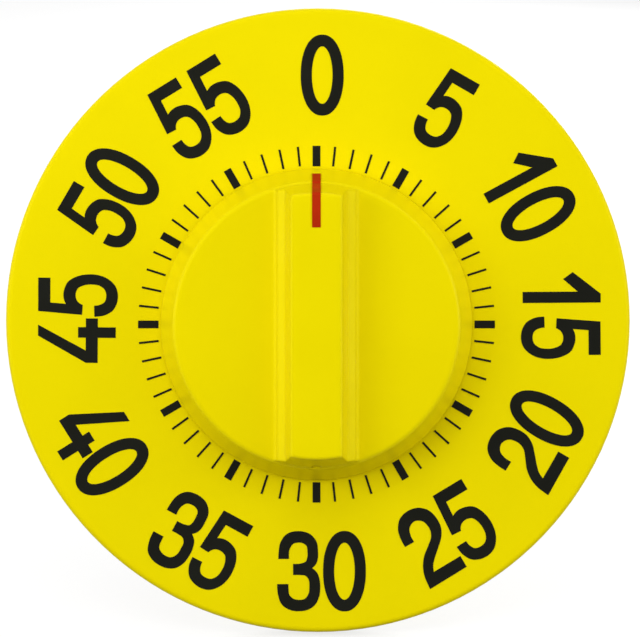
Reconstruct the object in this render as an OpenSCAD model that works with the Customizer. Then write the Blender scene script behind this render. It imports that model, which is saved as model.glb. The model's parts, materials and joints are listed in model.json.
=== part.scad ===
// Round mechanical 60-minute countdown timer: a large turning knob on a flat dial, a wound movement
// with a gong in the cup behind it, magnets on the back and a folding wire stand that holds it up.
// Each piece is drawn in the dial's own frame: X right, Y up the dial, Z out of its front face.
// stand_up() then leans the dial back on its stand. All sizes are in millimetres.

/* [Dial] */
// Diameter of the dial plate
dial_d = 178; // [174:1:184]
// Thickness of the dial plate
dial_t = 2.2; // [2:0.1:2.6]
// Depth of the rim that turns back round the edge
rim_depth = 7; // [6:0.5:9]
// Radius of the rounded front edge
edge_r = 1.4; // [1:0.1:1.8]
// How far right of the dial's centre the arbor stands
arbor_x = -0.4; // [-1:0.1:1]
// How far above the dial's centre the arbor stands
arbor_y = -1; // [-1.5:0.1:1.5]

/* [Minute scale] */
// Radius at which the minute marks end
mark_out_r = 50.8; // [50:0.1:52]
// Length of a five-minute mark
mark_len = 5.8; // [4:0.1:6]
// Width of a five-minute mark
mark_w5 = 2.2; // [1.6:0.1:3]
// Width of a one-minute mark
mark_w1 = 0.6; // [0.4:0.1:1]

/* [Knob] */
// Diameter of the knob's foot
knob_d = 89; // [86:0.5:89]
// Diameter of the knob's upper rim
rim_d = 80.4; // [79:0.2:81]
// Height of the upper rim above the dial
rim_z = 13.6; // [12:0.2:15]
// Height of the grip bar's top above the dial
bar_z = 25.6; // [24:0.2:28]
// Length of the grip bar's top
bar_len = 73.8; // [71:0.2:74]
// Width of the grip bar's top
bar_w = 14.2; // [13:0.2:16]
// Radius of the hollow along the foot of the grip bar
fillet = 1.8; // [1:0.1:1.8]
// Wall thickness of the moulding
knob_wall = 2.2; // [1.8:0.1:2.4]

/* [Case] */
// Diameter of the rear case at the dial
case_d = 116; // [114:1:120]
// Depth from the dial's face to the back of the case
case_z = 32; // [32:0.5:36]
// Wall thickness of the case
case_wall = 2; // [1.8:0.1:2.4]
// Diameter of a holding magnet
magnet_d = 18; // [16:0.5:19]
// Depth from the dial's face to the magnets' faces
magnet_z = 39; // [39:0.5:42]

/* [Stand] */
// How far the dial leans back when it stands
lean = 15; // [10:1:18]
// Wire diameter of the stand
wire_d = 3; // [2.5:0.1:3]
// Distance between the stand's legs
stand_w = 62; // [62:1:66]
// Length of a leg from its hinge to the foot
leg = 97; // [96:0.5:98]
// Height of the hinge above the dial's centre
hinge_y = 15; // [14:0.5:16]

/* [Movement] */
// Radius of the movement's plates
plate_r = 36; // [36:0.5:38]
// Radius of the gong
gong_r = 30; // [28:0.5:31]

/* [Hidden] */
$fn = 64;

// Colours
dial_yellow = [0.95, 0.87, 0.05];
ink = [0.13, 0.13, 0.14];
pointer_red = [0.75, 0.16, 0.08];
case_grey = [0.20, 0.20, 0.21];
steel = [0.72, 0.73, 0.75];
brass = [0.80, 0.65, 0.32];
blued = [0.20, 0.24, 0.38];
ferrite = [0.25, 0.25, 0.26];

// Play between pieces that turn in one another, and between a screw and its hole
play = 0.06;
// A cut's overrun past the faces that it opens
over = 1;

dial_r = dial_d / 2;
rim_back_r = dial_r - 0.2;
rim_t = 2;
case_r = case_d / 2;
case_back_r = case_r - 1.5;

// Depths of the movement's layers behind the dial's face
plate_t = 1;
front_z = -6;
back_z = -20;
wheel_z = -9.2;
wheel_t = 1;
ratchet_z = -10.4;
cam_z = -11.9;
spring_z = -17.6;
spring_h = 5;
second_z = -19;
third_z = -15.8;
escape_z = -12.6;
thin_t = 0.8;
gong_z = -23.5;
gong_depth = 5;

// Arbors of the train, from the main arbor at the centre, and the modules of its wheels' teeth
module_1 = 0.6;
module_2 = 0.45;
module_3 = 0.4;
teeth_1 = 72;
teeth_2 = 60;
teeth_3 = 56;
leaves = 8;
escape_teeth = 15;
escape_r = 7.5;
function centres(teeth, mod) = (teeth + leaves) * mod / 2 + 0.03;
function toward(from, angle, distance) = from + distance * [cos(angle), sin(angle)];
dir_2 = 200;
dir_3 = 107;
dir_4 = 60;
dir_5 = 20;
dir_6 = 20;
at_2 = toward([0, 0], dir_2, centres(teeth_1, module_1));
at_3 = toward(at_2, dir_3, centres(teeth_2, module_2));
at_4 = toward(at_3, dir_4, centres(teeth_3, module_3));
at_5 = toward(at_4, dir_5, 10.2);
at_6 = toward(at_5, dir_6, 11.7);
hammer_at = [-16, -28];
head_at = [0, -33.4];
lever_at = [13, -11.6];
pillar_r = 32.5;
pillar_dirs = [20, 120, 285];
ear_r = 40;
ear_dirs = [30, 150, 270];
boss_r = 49;
boss_dirs = [45, 135, 225, 315];
boss_z = 12;
seat_z = 24;

// The stand's hinge and how far its legs swing out
hinge_z = case_z + 2.5;
rest_h = rim_back_r * cos(lean) + rim_depth * sin(lean);
hinge_h = rest_h + hinge_y * cos(lean) - hinge_z * sin(lean);
open_angle = lean + acos((hinge_h - wire_d / 2) / leg);

// The standing timer's front and back, from the dial's centre
front_y = -bar_z * cos(lean) - (bar_len / 2 - 0.4) * sin(lean) + arbor_y * sin(lean);
back_y = hinge_y * sin(lean) + hinge_z * cos(lean) + leg * sin(open_angle - lean) + wire_d / 2;

// Leans a piece that is drawn in the dial's frame back on the stand, centred over the table
module stand_up() {
    translate([0, -(front_y + back_y) / 2, rest_h]) rotate([90 - lean, 0, 0]) children();
}

// Puts a piece of the movement on the arbor's axis
module on_arbor(z = 0) {
    translate([arbor_x, arbor_y, z]) children();
}

// Rounds the corners of an outline: corner i gets radius radii[i], in steps of an arc
function unit(v) = v / norm(v);
function corner(a, b, c, r, steps) =
    let (u = unit(a - b), w = unit(c - b), half = acos(u * w) / 2, back = r / tan(half),
         middle = b + unit(u + w) * r / sin(half), side = sign(u.x * w.y - u.y * w.x),
         from = b + u * back - middle, sweep = -side * (180 - 2 * half))
    r == 0 ? [b] : [for (k = [0:steps]) let (t = sweep * k / steps)
        middle + [from.x * cos(t) - from.y * sin(t), from.x * sin(t) + from.y * cos(t)]];
function rounded(pts, radii, steps = 5) =
    [for (i = [0:len(pts) - 1]) each corner(pts[(i + len(pts) - 1) % len(pts)], pts[i],
        pts[(i + 1) % len(pts)], radii[i], steps)];

// Outline of a toothed wheel with involute flanks, thinned a little so that it runs freely
pressure = 28;
addendum = 0.8;
dedendum = 0.95;
function roll(a) = tan(a) * 180 / PI - a;
function half_tooth(n, mod, r) =
    let (pitch_r = n * mod / 2, base_r = pitch_r * cos(pressure))
    90 / n - 0.06 * 180 / PI / pitch_r + roll(pressure) - roll(acos(min(1, base_r / r)));
function polar(r, a) = [r * cos(a), r * sin(a)];
function gear(n, mod) =
    let (pitch_r = n * mod / 2, radii = [pitch_r - dedendum * mod, pitch_r, pitch_r + addendum * mod])
    [for (k = [0:n - 1], side = [-1, 1], i = side < 0 ? [0, 1, 2] : [2, 1, 0])
        polar(radii[i], 360 * k / n + side * half_tooth(n, mod, radii[i]))];

// Outline of a flat strip wound outwards in a spiral
function spiral(r0, r1, turns, t, steps = 20) =
    let (n = turns * steps, r = function(k) r0 + (r1 - r0) * k / n)
    concat([for (k = [0:n]) polar(r(k), 360 * k / steps)],
           [for (k = [n:-1:0]) polar(r(k) + t, 360 * k / steps)]);

// ---- Dial ----

module dial_plate() {
    outline = [
        [0, 0], [dial_r, 0], [rim_back_r, -rim_depth], [rim_back_r - rim_t, -rim_depth],
        [dial_r - rim_t - 0.4, -dial_t], [0, -dial_t]
    ];
    seat = case_r + 0.15;
    color(dial_yellow) stand_up() difference() {
        union() {
            rotate_extrude($fn = 180) polygon(rounded(outline, [0, edge_r, 0.4, 0.4, 0.6, 0]));
            // Seat that the rear case's mouth fits inside
            translate([0, 0, -dial_t - 3.6]) rotate_extrude($fn = 120)
                translate([seat, 0]) square([1.6, 3.7]);
            // Stiffening ribs between the seat and the rim
            for (k = [0:11]) rotate(30 * k + 15)
                translate([seat + 1, -0.75, -dial_t - 2.6])
                    cube([dial_r - rim_t - seat - 1, 1.5, 2.7]);
            for (a = ear_dirs) on_arbor(front_z) translate(polar(ear_r, a))
                cylinder(r = 4, h = -front_z - dial_t + 0.1);
            for (a = boss_dirs) translate([each polar(boss_r, a), -boss_z])
                cylinder(r = 4.2, h = boss_z - dial_t + 0.1);
        }
        on_arbor(-dial_t - over) cylinder(r = 5 + play, h = dial_t + 2 * over);
        for (a = ear_dirs) on_arbor(front_z - over) translate(polar(ear_r, a))
            cylinder(r = 1.25 + play, h = 5 + over);
        for (a = boss_dirs) translate([each polar(boss_r, a), -boss_z - over])
            cylinder(r = 1.45 + play, h = boss_z - dial_t + over);
    }
}

module minute_scale() {
    print_t = 0.12;
    color(ink) stand_up() on_arbor() for (k = [0:59])
        let (w = k % 5 == 0 ? mark_w5 : mark_w1, length = k % 5 == 0 ? mark_len : mark_len - 0.2)
        rotate(6 * k) translate([-w / 2, mark_out_r - length, 0]) cube([w, length, print_t]);
}

// ---- Knob ----

knob_r = knob_d / 2;
knob_rim_r = rim_d / 2;
knob_z = 0.6;
skirt_slope = (knob_r - knob_rim_r) / (rim_z - knob_z);
plinth_w = 22;
shoulder_z = rim_z + 3.2;
bar_end_r = bar_len / 2;

// Half of the knob's turned body, shrunk by a wall all round
module body_half(wall = 0) {
    foot_z = knob_z - (wall > 0 ? over : 0);
    top_z = rim_z - wall;
    side = wall * sqrt(1 + skirt_slope * skirt_slope);
    edges = wall > 0 ? [0, 0, 0, 0] : [0, 0.5, 1.3, 0];
    polygon(rounded([
        [0, foot_z], [knob_rim_r - side + skirt_slope * (rim_z - foot_z), foot_z],
        [knob_rim_r - side + skirt_slope * wall, top_z], [0, top_z]
    ], edges));
}

// The grip bar's cross-section: a foot, a plinth with sloping shoulders, and the bar itself
function bar_side(wall) =
    let (foot = [
             [plinth_w / 2 + fillet + 0.4, rim_z - 1.2], [plinth_w / 2 + fillet + 0.4, rim_z - 0.2],
             [plinth_w / 2 + 0.1, rim_z - 0.2]
         ],
         rise = [
             [plinth_w / 2, shoulder_z - 1.4], [plinth_w / 2 - 2.2, shoulder_z], [bar_w / 2, bar_z]
         ])
    wall > 0 ? [[plinth_w / 2 + 0.3 - wall, knob_z - over], for (p = rise) p - [wall, wall]]
             : concat(foot, rise);

// The grip bar, run along Y; its ends are turned about the arbor and stand on the knob's rim
module grip_bar(wall = 0) {
    side = bar_side(wall);
    n = len(side);
    section = concat(side, [for (i = [n - 1:-1:0]) [-side[i].x, side[i].y]]);
    bends = [0, 0, fillet, 0.8, 1, 0.8, 0.8, 1, 0.8, fillet, 0, 0];
    low = side[0].y;
    intersection() {
        rotate([90, 0, 0]) linear_extrude(knob_d, center = true)
            polygon(wall > 0 ? section : rounded(section, bends));
        rotate_extrude($fn = 120) polygon(rounded([
            [0, low], [knob_rim_r - 1.8 - wall, low], [knob_rim_r - 0.2 - wall, rim_z - 0.8],
            [bar_end_r - wall, bar_z - wall], [0, bar_z - wall]
        ], wall > 0 ? [0, 0, 0, 0, 0] : [0, 0, 0, 0.9, 0]));
    }
}

module knob_form() {
    rotate_extrude($fn = 180) body_half();
    grip_bar();
}

// The red line let into the knob, from the skirt over the bar's end onto its top
module pointer_strip(proud = 0) {
    line_w = 2.35;
    line_in = 27.4;
    line_out = 42.8;
    depth = 0.5;
    difference() {
        intersection() {
            translate([0, proud, proud]) knob_form();
            translate([-line_w / 2, line_in, 0]) cube([line_w, line_out - line_in, 2 * bar_z]);
        }
        translate([0, -depth, -depth]) knob_form();
    }
}

module knob() {
    hub_r = 6.4;
    hub_z = 4.2;
    shaft_r = 2.5;
    notch_w = 2.4;
    color(dial_yellow) stand_up() on_arbor() difference() {
        knob_form();
        // Hollow underside, with the hub and the radial ribs left standing
        difference() {
            union() {
                rotate_extrude($fn = 180) body_half(knob_wall);
                grip_bar(knob_wall);
            }
            translate([0, 0, hub_z]) cylinder(r = hub_r, h = bar_z);
            for (k = [0:7]) rotate(45 * k) translate([hub_r - 1, -0.8, hub_z])
                cube([knob_r, 1.6, bar_z]);
        }
        // Flatted socket for the arbor
        translate([0, 0, hub_z - over]) intersection() {
            cylinder(r = shaft_r, h = bar_z - knob_wall - hub_z);
            translate([-shaft_r, -shaft_r, 0]) cube([2 * shaft_r, 2 * shaft_r - 1, bar_z]);
        }
        pointer_strip();
        // Notch that the mould's gate leaves at the foot of the bar's lower end
        translate([-notch_w / 2, -knob_rim_r - 1, rim_z - 0.5]) cube([notch_w, 2, 2.4]);
    }
}

module pointer_line() {
    color(pointer_red) stand_up() on_arbor() pointer_strip(0.08);
}

// ---- Rear case, magnets and stand ----

magnet_at = [for (sx = [1, -1], sy = [1, -1]) [17 * sx, 37 * sy]];

// The hinge lug on the right, with the horn that stops the open leg
module hinge_lug() {
    bore_r = wire_d / 2 + play;
    wall_z = hinge_z - case_z;
    lean_out = [cos(open_angle), sin(open_angle)];
    aside = [lean_out.y, -lean_out.x];
    face = (wire_d / 2 + 0.05) * aside;
    horn = [
        [wire_d / 2 + 1, wall_z + 0.5], [wire_d / 2 + 1, -0.3], face, face - 4 * lean_out,
        [face.x - 4 * lean_out.x, -4], [4, -4], [8, wall_z + 0.5]
    ];
    translate([0, hinge_y, -hinge_z]) difference() {
        union() {
            translate([23, 0, 0]) rotate([0, 90, 0]) cylinder(r = 3.6, h = 4.8);
            translate([23, -3.6, 0]) cube([4.8, 7.2, wall_z + 0.5]);
            translate([stand_w / 2 - 3.2, 0, 0]) rotate([90, 0, 90]) linear_extrude(5.4)
                polygon(horn);
            // Web that joins the horn to the lug
            translate([23, 4, -2]) cube([stand_w / 2 - 23, 3, wall_z + 2.5]);
        }
        translate([22, 0, 0]) rotate([0, 90, 0]) cylinder(r = bore_r, h = 6.8);
    }
}

module rear_case() {
    outline = [[0, -dial_t], [case_r, -dial_t], [case_back_r, -case_z], [0, -case_z]];
    inside = [
        [0, -dial_t + over], [case_r - case_wall, -dial_t + over],
        [case_back_r - case_wall, -case_z + case_wall], [0, -case_z + case_wall]
    ];
    grille_r = 15;
    slot_w = 3;
    pitch = 5.4;
    color(case_grey) stand_up() difference() {
        union() {
            difference() {
                rotate_extrude($fn = 150) polygon(rounded(outline, [0, 0, 3, 0]));
                rotate_extrude($fn = 150) polygon(rounded(inside, [0, 0, 1.5, 0]));
            }
            for (a = boss_dirs) translate([each polar(boss_r, a), -case_z + case_wall - 0.1])
                cylinder(r = 4.6, h = case_z - case_wall - boss_z + 0.1);
            // Feet that hold the magnets
            for (p = magnet_at) translate([each p, -magnet_z + 0.4])
                cylinder(r = magnet_d / 2 + 1.5, h = magnet_z - case_z);
            for (s = [0, 1]) mirror([s, 0, 0]) hinge_lug();
        }
        for (a = boss_dirs) translate(polar(boss_r, a)) {
            translate([0, 0, -case_z]) cylinder(r = 1.45 + 0.3, h = case_z);
            translate([0, 0, -case_z - over]) cylinder(r = 3.3, h = case_z - seat_z + over);
        }
        for (p = magnet_at) translate([each p, -magnet_z - over])
            cylinder(r = magnet_d / 2 + play, h = 4.5 + over);
        // Slots that let the gong be heard
        for (i = [-2:2]) let (y = i * pitch, half = sqrt(grille_r * grille_r - y * y))
            translate([-half, y - slot_w / 2, -case_z - over]) cube([2 * half, slot_w, 2 * case_wall]);
    }
}

module screw(r, head_r, head_t, length) {
    difference() {
        union() {
            cylinder(r = r, h = length);
            translate([0, 0, -head_t]) cylinder(r = head_r, h = head_t);
        }
        // Cross recess
        for (a = [0, 90]) rotate(a) translate([-0.6 * head_r, -0.3, -head_t - over])
            cube([1.2 * head_r, 0.6, over + 0.6 * head_t]);
    }
}

module case_screws() {
    color(steel) stand_up() for (a = boss_dirs) translate([each polar(boss_r, a), -seat_z])
        screw(1.45, 2.9, 2, seat_z - 4);
}

module magnet(i) {
    r = magnet_d / 2;
    color(ferrite) stand_up() translate([each magnet_at[i], -magnet_z]) rotate_extrude()
        polygon([[0, 0], [r - 0.4, 0], [r, 0.4], [r, 4.5], [0, 4.5]]);
}

module magnet_1() { magnet(0); }
module magnet_2() { magnet(1); }
module magnet_3() { magnet(2); }
module magnet_4() { magnet(3); }

module wire(length) {
    cylinder(d = wire_d, h = length);
}

// One half of the stand, folded flat: pivot, upper bend, leg, lower bend and half of the foot
module half_stand() {
    half = stand_w / 2;
    top_r = 3.2;
    low_r = 9;
    stub = half - top_r - 21.5;
    translate([21.5, 0, 0]) rotate([0, 90, 0]) wire(stub);
    translate([half - top_r, -top_r, 0]) rotate_extrude(angle = 90)
        translate([top_r, 0]) circle(d = wire_d);
    translate([half, -top_r, 0]) rotate([90, 0, 0]) wire(leg - top_r - low_r);
    translate([half - low_r, low_r - leg, 0]) rotate(-90) rotate_extrude(angle = 90)
        translate([low_r, 0]) circle(d = wire_d);
    translate([0, -leg, 0]) rotate([0, 90, 0]) wire(half - low_r);
}

module wire_stand() {
    color(steel) stand_up() translate([0, hinge_y, -hinge_z]) rotate([open_angle, 0, 0])
        for (s = [0, 1]) mirror([s, 0, 0]) half_stand();
}

// ---- Arbor and knob drive ----

module main_arbor() {
    socket_z = 20;
    color(steel) stand_up() on_arbor() difference() {
        union() {
            translate([0, 0, second_z + 1.2]) cylinder(r = 2.5, h = socket_z - second_z - 1.2);
            translate([0, 0, back_z - 2.6]) cylinder(r = 2, h = 8);
        }
        translate([-3, 1.5, 4.2]) cube([6, 3, socket_z]);
        translate([0, 0, back_z - 2]) rotate_extrude() translate([1.6, 0]) square([1, 0.7]);
    }
}

module arbor_clip() {
    color(steel) stand_up() on_arbor(back_z - 1.95) linear_extrude(0.6) difference() {
        circle(r = 3.6);
        circle(r = 1.62);
        translate([0, -1.4]) square([5, 2.8]);
    }
}

module arbor_bush() {
    color(brass) stand_up() on_arbor() difference() {
        union() {
            translate([0, 0, front_z - plate_t]) cylinder(r = 5, h = 3.4 - front_z + plate_t);
            translate([0, 0, front_z]) cylinder(r = 7, h = -front_z - dial_t);
        }
        translate([0, 0, front_z - plate_t - over]) cylinder(r = 2.5 + play, h = 14);
    }
}

module bush_nut() {
    color(steel) stand_up() on_arbor() difference() {
        cylinder(r = 7.5, h = 2.8, $fn = 6);
        translate([0, 0, -over]) cylinder(r = 5 + play, h = 5);
    }
}

module ratchet_wheel() {
    n = 16;
    teeth = [for (k = [0:n - 1]) each [polar(6, 360 * k / n), polar(4.9, 360 * (k + 0.12) / n)]];
    color(steel) stand_up() on_arbor(ratchet_z) linear_extrude(thin_t) difference() {
        polygon(teeth);
        circle(r = 2.5);
    }
}

module strike_cam() {
    color(brass) stand_up() on_arbor(cam_z) linear_extrude(1) difference() {
        circle(r = 8);
        circle(r = 2.5);
        translate([-1, -9]) square([2, 3]);
    }
}

// ---- Plates and their fixings ----

module pivot_holes() {
    for (p = [at_2, at_3, at_4, at_5, at_6]) translate(p) circle(r = 0.6 + play);
    translate(hammer_at) circle(r = 1.2 + play);
}

module front_plate() {
    color(brass) stand_up() on_arbor(front_z - plate_t) linear_extrude(plate_t) difference() {
        union() {
            circle(r = plate_r, $fn = 120);
            for (a = ear_dirs) rotate(a) {
                translate([0, -4.5]) square([ear_r, 9]);
                translate([ear_r, 0]) circle(r = 4.5);
            }
        }
        circle(r = 5);
        pivot_holes();
        for (a = pillar_dirs) translate(polar(pillar_r, a)) circle(r = 1.5);
        for (a = ear_dirs) translate(polar(ear_r, a)) circle(r = 1.25 + 0.2);
        // Lightening windows
        for (a = [330, 60]) translate(polar(22, a)) circle(r = 7);
    }
}

module back_plate() {
    color(brass) stand_up() on_arbor(back_z - plate_t) linear_extrude(plate_t) difference() {
        circle(r = plate_r, $fn = 120);
        circle(r = 2 + play);
        pivot_holes();
        for (a = pillar_dirs) translate(polar(pillar_r, a)) circle(r = 1.5);
        translate(lever_at) circle(r = 1);
        translate(toward(at_6, 40, 6.5)) circle(r = 0.6);
        for (a = [340, 45]) translate(polar(23, a)) circle(r = 6.5);
    }
}

module plate_pillars() {
    gap = front_z - plate_t - back_z;
    color(steel) stand_up() on_arbor() for (a = pillar_dirs) translate(polar(pillar_r, a)) {
        translate([0, 0, back_z]) cylinder(r = 2.4, h = gap);
        translate([0, 0, back_z - plate_t - 2.4]) cylinder(r = 1.5, h = gap + 2 * plate_t + 2.4);
    }
}

module pillar_nuts() {
    color(steel) stand_up() on_arbor(back_z - plate_t - 2) for (a = pillar_dirs)
        translate(polar(pillar_r, a)) difference() {
            cylinder(r = 3.1, h = 2, $fn = 6);
            translate([0, 0, -over]) cylinder(r = 1.5 + play, h = 4);
        }
}

module movement_screws() {
    color(steel) stand_up() on_arbor(front_z - plate_t) for (a = ear_dirs)
        translate(polar(ear_r, a)) screw(1.25, 2.4, 1.6, 5);
}

// ---- Mainspring and going train ----

module mainspring() {
    outer = 13.6;
    color(blued) stand_up() on_arbor(spring_z) linear_extrude(spring_h) {
        polygon(spiral(3, outer, 7, 0.5));
        // Hooked outer end, run out to its pillar
        translate([outer, 0]) rotate(20) square([pillar_r - outer - 2.2, 0.5]);
    }
}

module main_wheel() {
    color(brass) stand_up() on_arbor(wheel_z) {
        linear_extrude(wheel_t) difference() {
            rotate(dir_2) polygon(gear(teeth_1, module_1));
            circle(r = 2.5 + play);
            for (k = [0:3]) rotate(90 * k + 45) translate([14.6, 0]) circle(r = 5);
        }
        // Studs of the click and of its spring
        for (p = [click_at, click_spring_at]) translate([each p, -1.1]) cylinder(r = 0.8, h = 1.2);
    }
}

click_at = [9.4, 2.6];
click_spring_at = [9.4, -7.4];

module click_spring() {
    color(blued) stand_up() on_arbor(ratchet_z) linear_extrude(thin_t) {
        difference() {
            translate(click_spring_at) circle(r = 1.5);
            translate(click_spring_at) circle(r = 0.8 + 0.01);
        }
        translate(click_spring_at + [1.1, 0.6]) rotate(93) square([7, 0.4]);
    }
}

module click() {
    tip = [5.95, -1.1];
    color(steel) stand_up() on_arbor(ratchet_z) linear_extrude(thin_t) difference() {
        union() {
            translate(click_at) circle(r = 1.5);
            polygon([click_at + [-0.9, 1.2], click_at + [0.9, -1.2], tip + [0.5, -0.3], tip]);
        }
        translate(click_at) circle(r = 0.8 + play);
    }
}

// An arbor with turned-down pivots in both plates, and a pinion cut on it
module geared_arbor(at, mod, pinion_z, pinion_h, turn, r) {
    pivot_r = 0.6;
    low = back_z + 0.3;
    high = front_z - plate_t - 0.3;
    color(steel) stand_up() on_arbor() translate(at) {
        translate([0, 0, low]) cylinder(r = r, h = high - low);
        translate([0, 0, back_z - plate_t]) cylinder(r = pivot_r, h = front_z - back_z + plate_t);
        if (mod > 0)
            translate([0, 0, pinion_z]) linear_extrude(pinion_h) rotate(turn)
                polygon(gear(leaves, mod));
    }
}

// A wheel with round windows, on an arbor
module train_wheel(at, z, n, mod, turn, hole, t) {
    r = n * mod / 2;
    color(brass) stand_up() on_arbor(z) translate(at) linear_extrude(t) difference() {
        rotate(turn) polygon(gear(n, mod));
        circle(r = hole);
        for (k = [0:4]) rotate(72 * k) translate([0.58 * r, 0]) circle(r = 0.24 * r);
    }
}

gap_turn = 180 + 180 / leaves;

module second_wheel() {
    train_wheel(at_2, second_z, teeth_2, module_2, dir_3, 1.3, thin_t);
}

module second_arbor() {
    geared_arbor(at_2, module_1, -9.9, 2.4, dir_2 + gap_turn, 1.3);
}

module hammer_star() {
    n = 6;
    points = [for (k = [0:n - 1]) each [polar(4, 360 * k / n), polar(2.3, 360 * (k + 0.5) / n)]];
    color(steel) stand_up() on_arbor(-13) translate(at_2) linear_extrude(1) difference() {
        rotate(54) polygon(points);
        circle(r = 1.3);
    }
}

module third_wheel() {
    train_wheel(at_3, third_z, teeth_3, module_3, dir_4, 1.1, thin_t);
}

module third_arbor() {
    geared_arbor(at_3, module_2, -19.4, 1.8, dir_3 + gap_turn, 1.1);
}

// ---- Escapement ----

module escape_wheel() {
    root = 5.6;
    teeth = [for (k = [0:escape_teeth - 1]) let (a = 360 * k / escape_teeth)
        each [polar(root, a - 9), polar(escape_r, a - 0.6), polar(escape_r, a + 0.6), polar(root, a + 6)]];
    color(brass) stand_up() on_arbor(escape_z) translate(at_4) linear_extrude(0.6) difference() {
        rotate(dir_5 + 180 / escape_teeth) polygon(teeth);
        circle(r = 0.9);
        for (k = [0:4]) rotate(72 * k) translate([3.3, 0]) circle(r = 1.2);
    }
}

module escape_arbor() {
    geared_arbor(at_4, module_3, -16.2, 1.6, dir_4 + gap_turn, 0.9);
}

pin_r = 0.35;
pin_spread = 42;
pin_at = [for (s = [-1, 1]) toward(at_4, dir_5 + s * pin_spread, escape_r + pin_r + 0.12)];
pallet_z = escape_z + 1.1;

module pallet_lever() {
    fork_out = 9.9;
    color(brass) stand_up() on_arbor(pallet_z) linear_extrude(thin_t) difference() {
        union() {
            translate(at_5) circle(r = 1.8);
            for (p = pin_at) {
                translate(p) circle(r = 0.8);
                // Arm from the arbor to a pin
                translate(at_5) rotate(atan2(p.y - at_5.y, p.x - at_5.x))
                    translate([0, -0.6]) square([norm(p - at_5), 1.2]);
            }
            translate(at_5) rotate(dir_6) polygon([
                [0, -0.6], [6.6, -0.6], [7.6, -2.1], [fork_out, -2.1], [fork_out, 2.1], [7.6, 2.1],
                [6.6, 0.6], [0, 0.6]
            ]);
        }
        translate(at_5) circle(r = 0.9);
        // Notch that takes the balance's impulse pin
        translate(at_5) rotate(dir_6) translate([8, -1.35]) square([3, 2.7]);
    }
}

module pallet_pins() {
    color(steel) stand_up() on_arbor(escape_z - 0.4) for (p = pin_at) translate(p)
        cylinder(r = pin_r, h = pallet_z - escape_z + 0.4);
}

module pallet_arbor() {
    geared_arbor(at_5, 0, 0, 0, 0, 0.9);
}

module balance_wheel() {
    rim = 9;
    color(brass) stand_up() on_arbor(-14.4) translate(at_6) linear_extrude(1) {
        difference() {
            circle(r = rim, $fn = 96);
            circle(r = rim - 1.6, $fn = 96);
        }
        difference() {
            union() {
                circle(r = 2);
                for (k = [0:2]) rotate(120 * k + 50) translate([0, -0.6]) square([rim - 1, 1.2]);
            }
            circle(r = 1);
        }
    }
}

module balance_staff() {
    geared_arbor(at_6, 0, 0, 0, 0, 1);
}

module balance_roller() {
    pin_out = 2.5;
    color(steel) stand_up() on_arbor() translate(at_6) {
        translate([0, 0, -13.2]) difference() {
            cylinder(r = 3.2, h = 0.8);
            translate([0, 0, -over]) cylinder(r = 1, h = 3);
        }
        // Impulse pin
        translate([each polar(pin_out, dir_6 + 180), -12.4]) cylinder(r = 0.4, h = 2.2);
    }
}

module hairspring() {
    color(blued) stand_up() on_arbor(-17.2) translate(at_6) linear_extrude(0.6)
        rotate(40) polygon(spiral(1.3, 5.74, 6, 0.15, 18));
}

module hairspring_stud() {
    color(brass) stand_up() on_arbor(back_z - plate_t) translate(toward(at_6, 40, 6.5)) {
        cylinder(r = 0.6, h = plate_t + 4.6);
        translate([0, 0, plate_t]) cylinder(r = 1, h = 1.4);
    }
}

// ---- Strike work ----

module lever_stud() {
    color(steel) stand_up() on_arbor() translate(lever_at) {
        translate([0, 0, back_z]) cylinder(r = 1.4, h = cam_z - 0.1 - back_z);
        translate([0, 0, back_z - plate_t]) cylinder(r = 1, h = cam_z + 1.5 - back_z + plate_t);
    }
}

module strike_lever() {
    color(steel) stand_up() on_arbor(cam_z) linear_extrude(1) difference() {
        union() {
            translate(lever_at) circle(r = 2);
            // Arm under the cam, with the nose that drops into its notch
            polygon([
                lever_at + [0, 1.1], [0.5, -9.9], [0.5, -8.3], [-0.5, -8.3], [-0.5, -10],
                [-8, -11.6], [-8, -13], [0, -12.4], lever_at + [0, -1.3]
            ]);
        }
        translate(lever_at) circle(r = 1 + play);
    }
}

module lever_spring() {
    from = polar(pillar_r, 285) + [0, 2.5];
    to = [3, -13.1];
    color(blued) stand_up() on_arbor(cam_z + 0.1) linear_extrude(0.8)
        translate(from) rotate(atan2(to.y - from.y, to.x - from.x)) translate([0, -0.15])
            square([norm(to - from), 0.3]);
}

module hammer_arbor() {
    r = 1.2;
    color(steel) stand_up() on_arbor() translate(hammer_at) {
        translate([0, 0, back_z - plate_t - 2]) cylinder(r = r, h = front_z - back_z + 2 + plate_t);
        translate([0, 0, back_z + 0.2]) cylinder(r = 1.9, h = front_z - plate_t - back_z - 0.4);
    }
}

module hammer_tail() {
    nose = at_2 + [4.2, 1.5];
    color(steel) stand_up() on_arbor(-13) linear_extrude(1) difference() {
        union() {
            translate(hammer_at) circle(r = 3);
            // Tail with the nose that the star's points push aside
            polygon([
                hammer_at + [-0.6, 0], nose + [1.7, -1.6], nose + [1.7, -0.5], nose,
                nose + [1.7, 0.5], nose + [3, 0.5], hammer_at + [1.4, 0]
            ]);
        }
        translate(hammer_at) circle(r = 1.9);
    }
}

module hammer_arm() {
    run = head_at - hammer_at;
    color(steel) stand_up() on_arbor(back_z - plate_t - 2) linear_extrude(0.9) difference() {
        union() {
            translate(hammer_at) circle(r = 2.6);
            translate(hammer_at) rotate(atan2(run.y, run.x)) translate([0, -0.9])
                square([norm(run), 1.8]);
            translate(head_at) circle(r = 1.9);
        }
        translate(hammer_at) circle(r = 1.2);
    }
}

module hammer_head() {
    head_h = 4.6;
    color(brass) stand_up() on_arbor(back_z - plate_t - 2 - head_h) translate(head_at)
        rotate_extrude() polygon(rounded([[0, 0], [2.2, 0], [2.2, head_h], [0, head_h]],
            [0, 0.5, 0.3, 0]));
}

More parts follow.
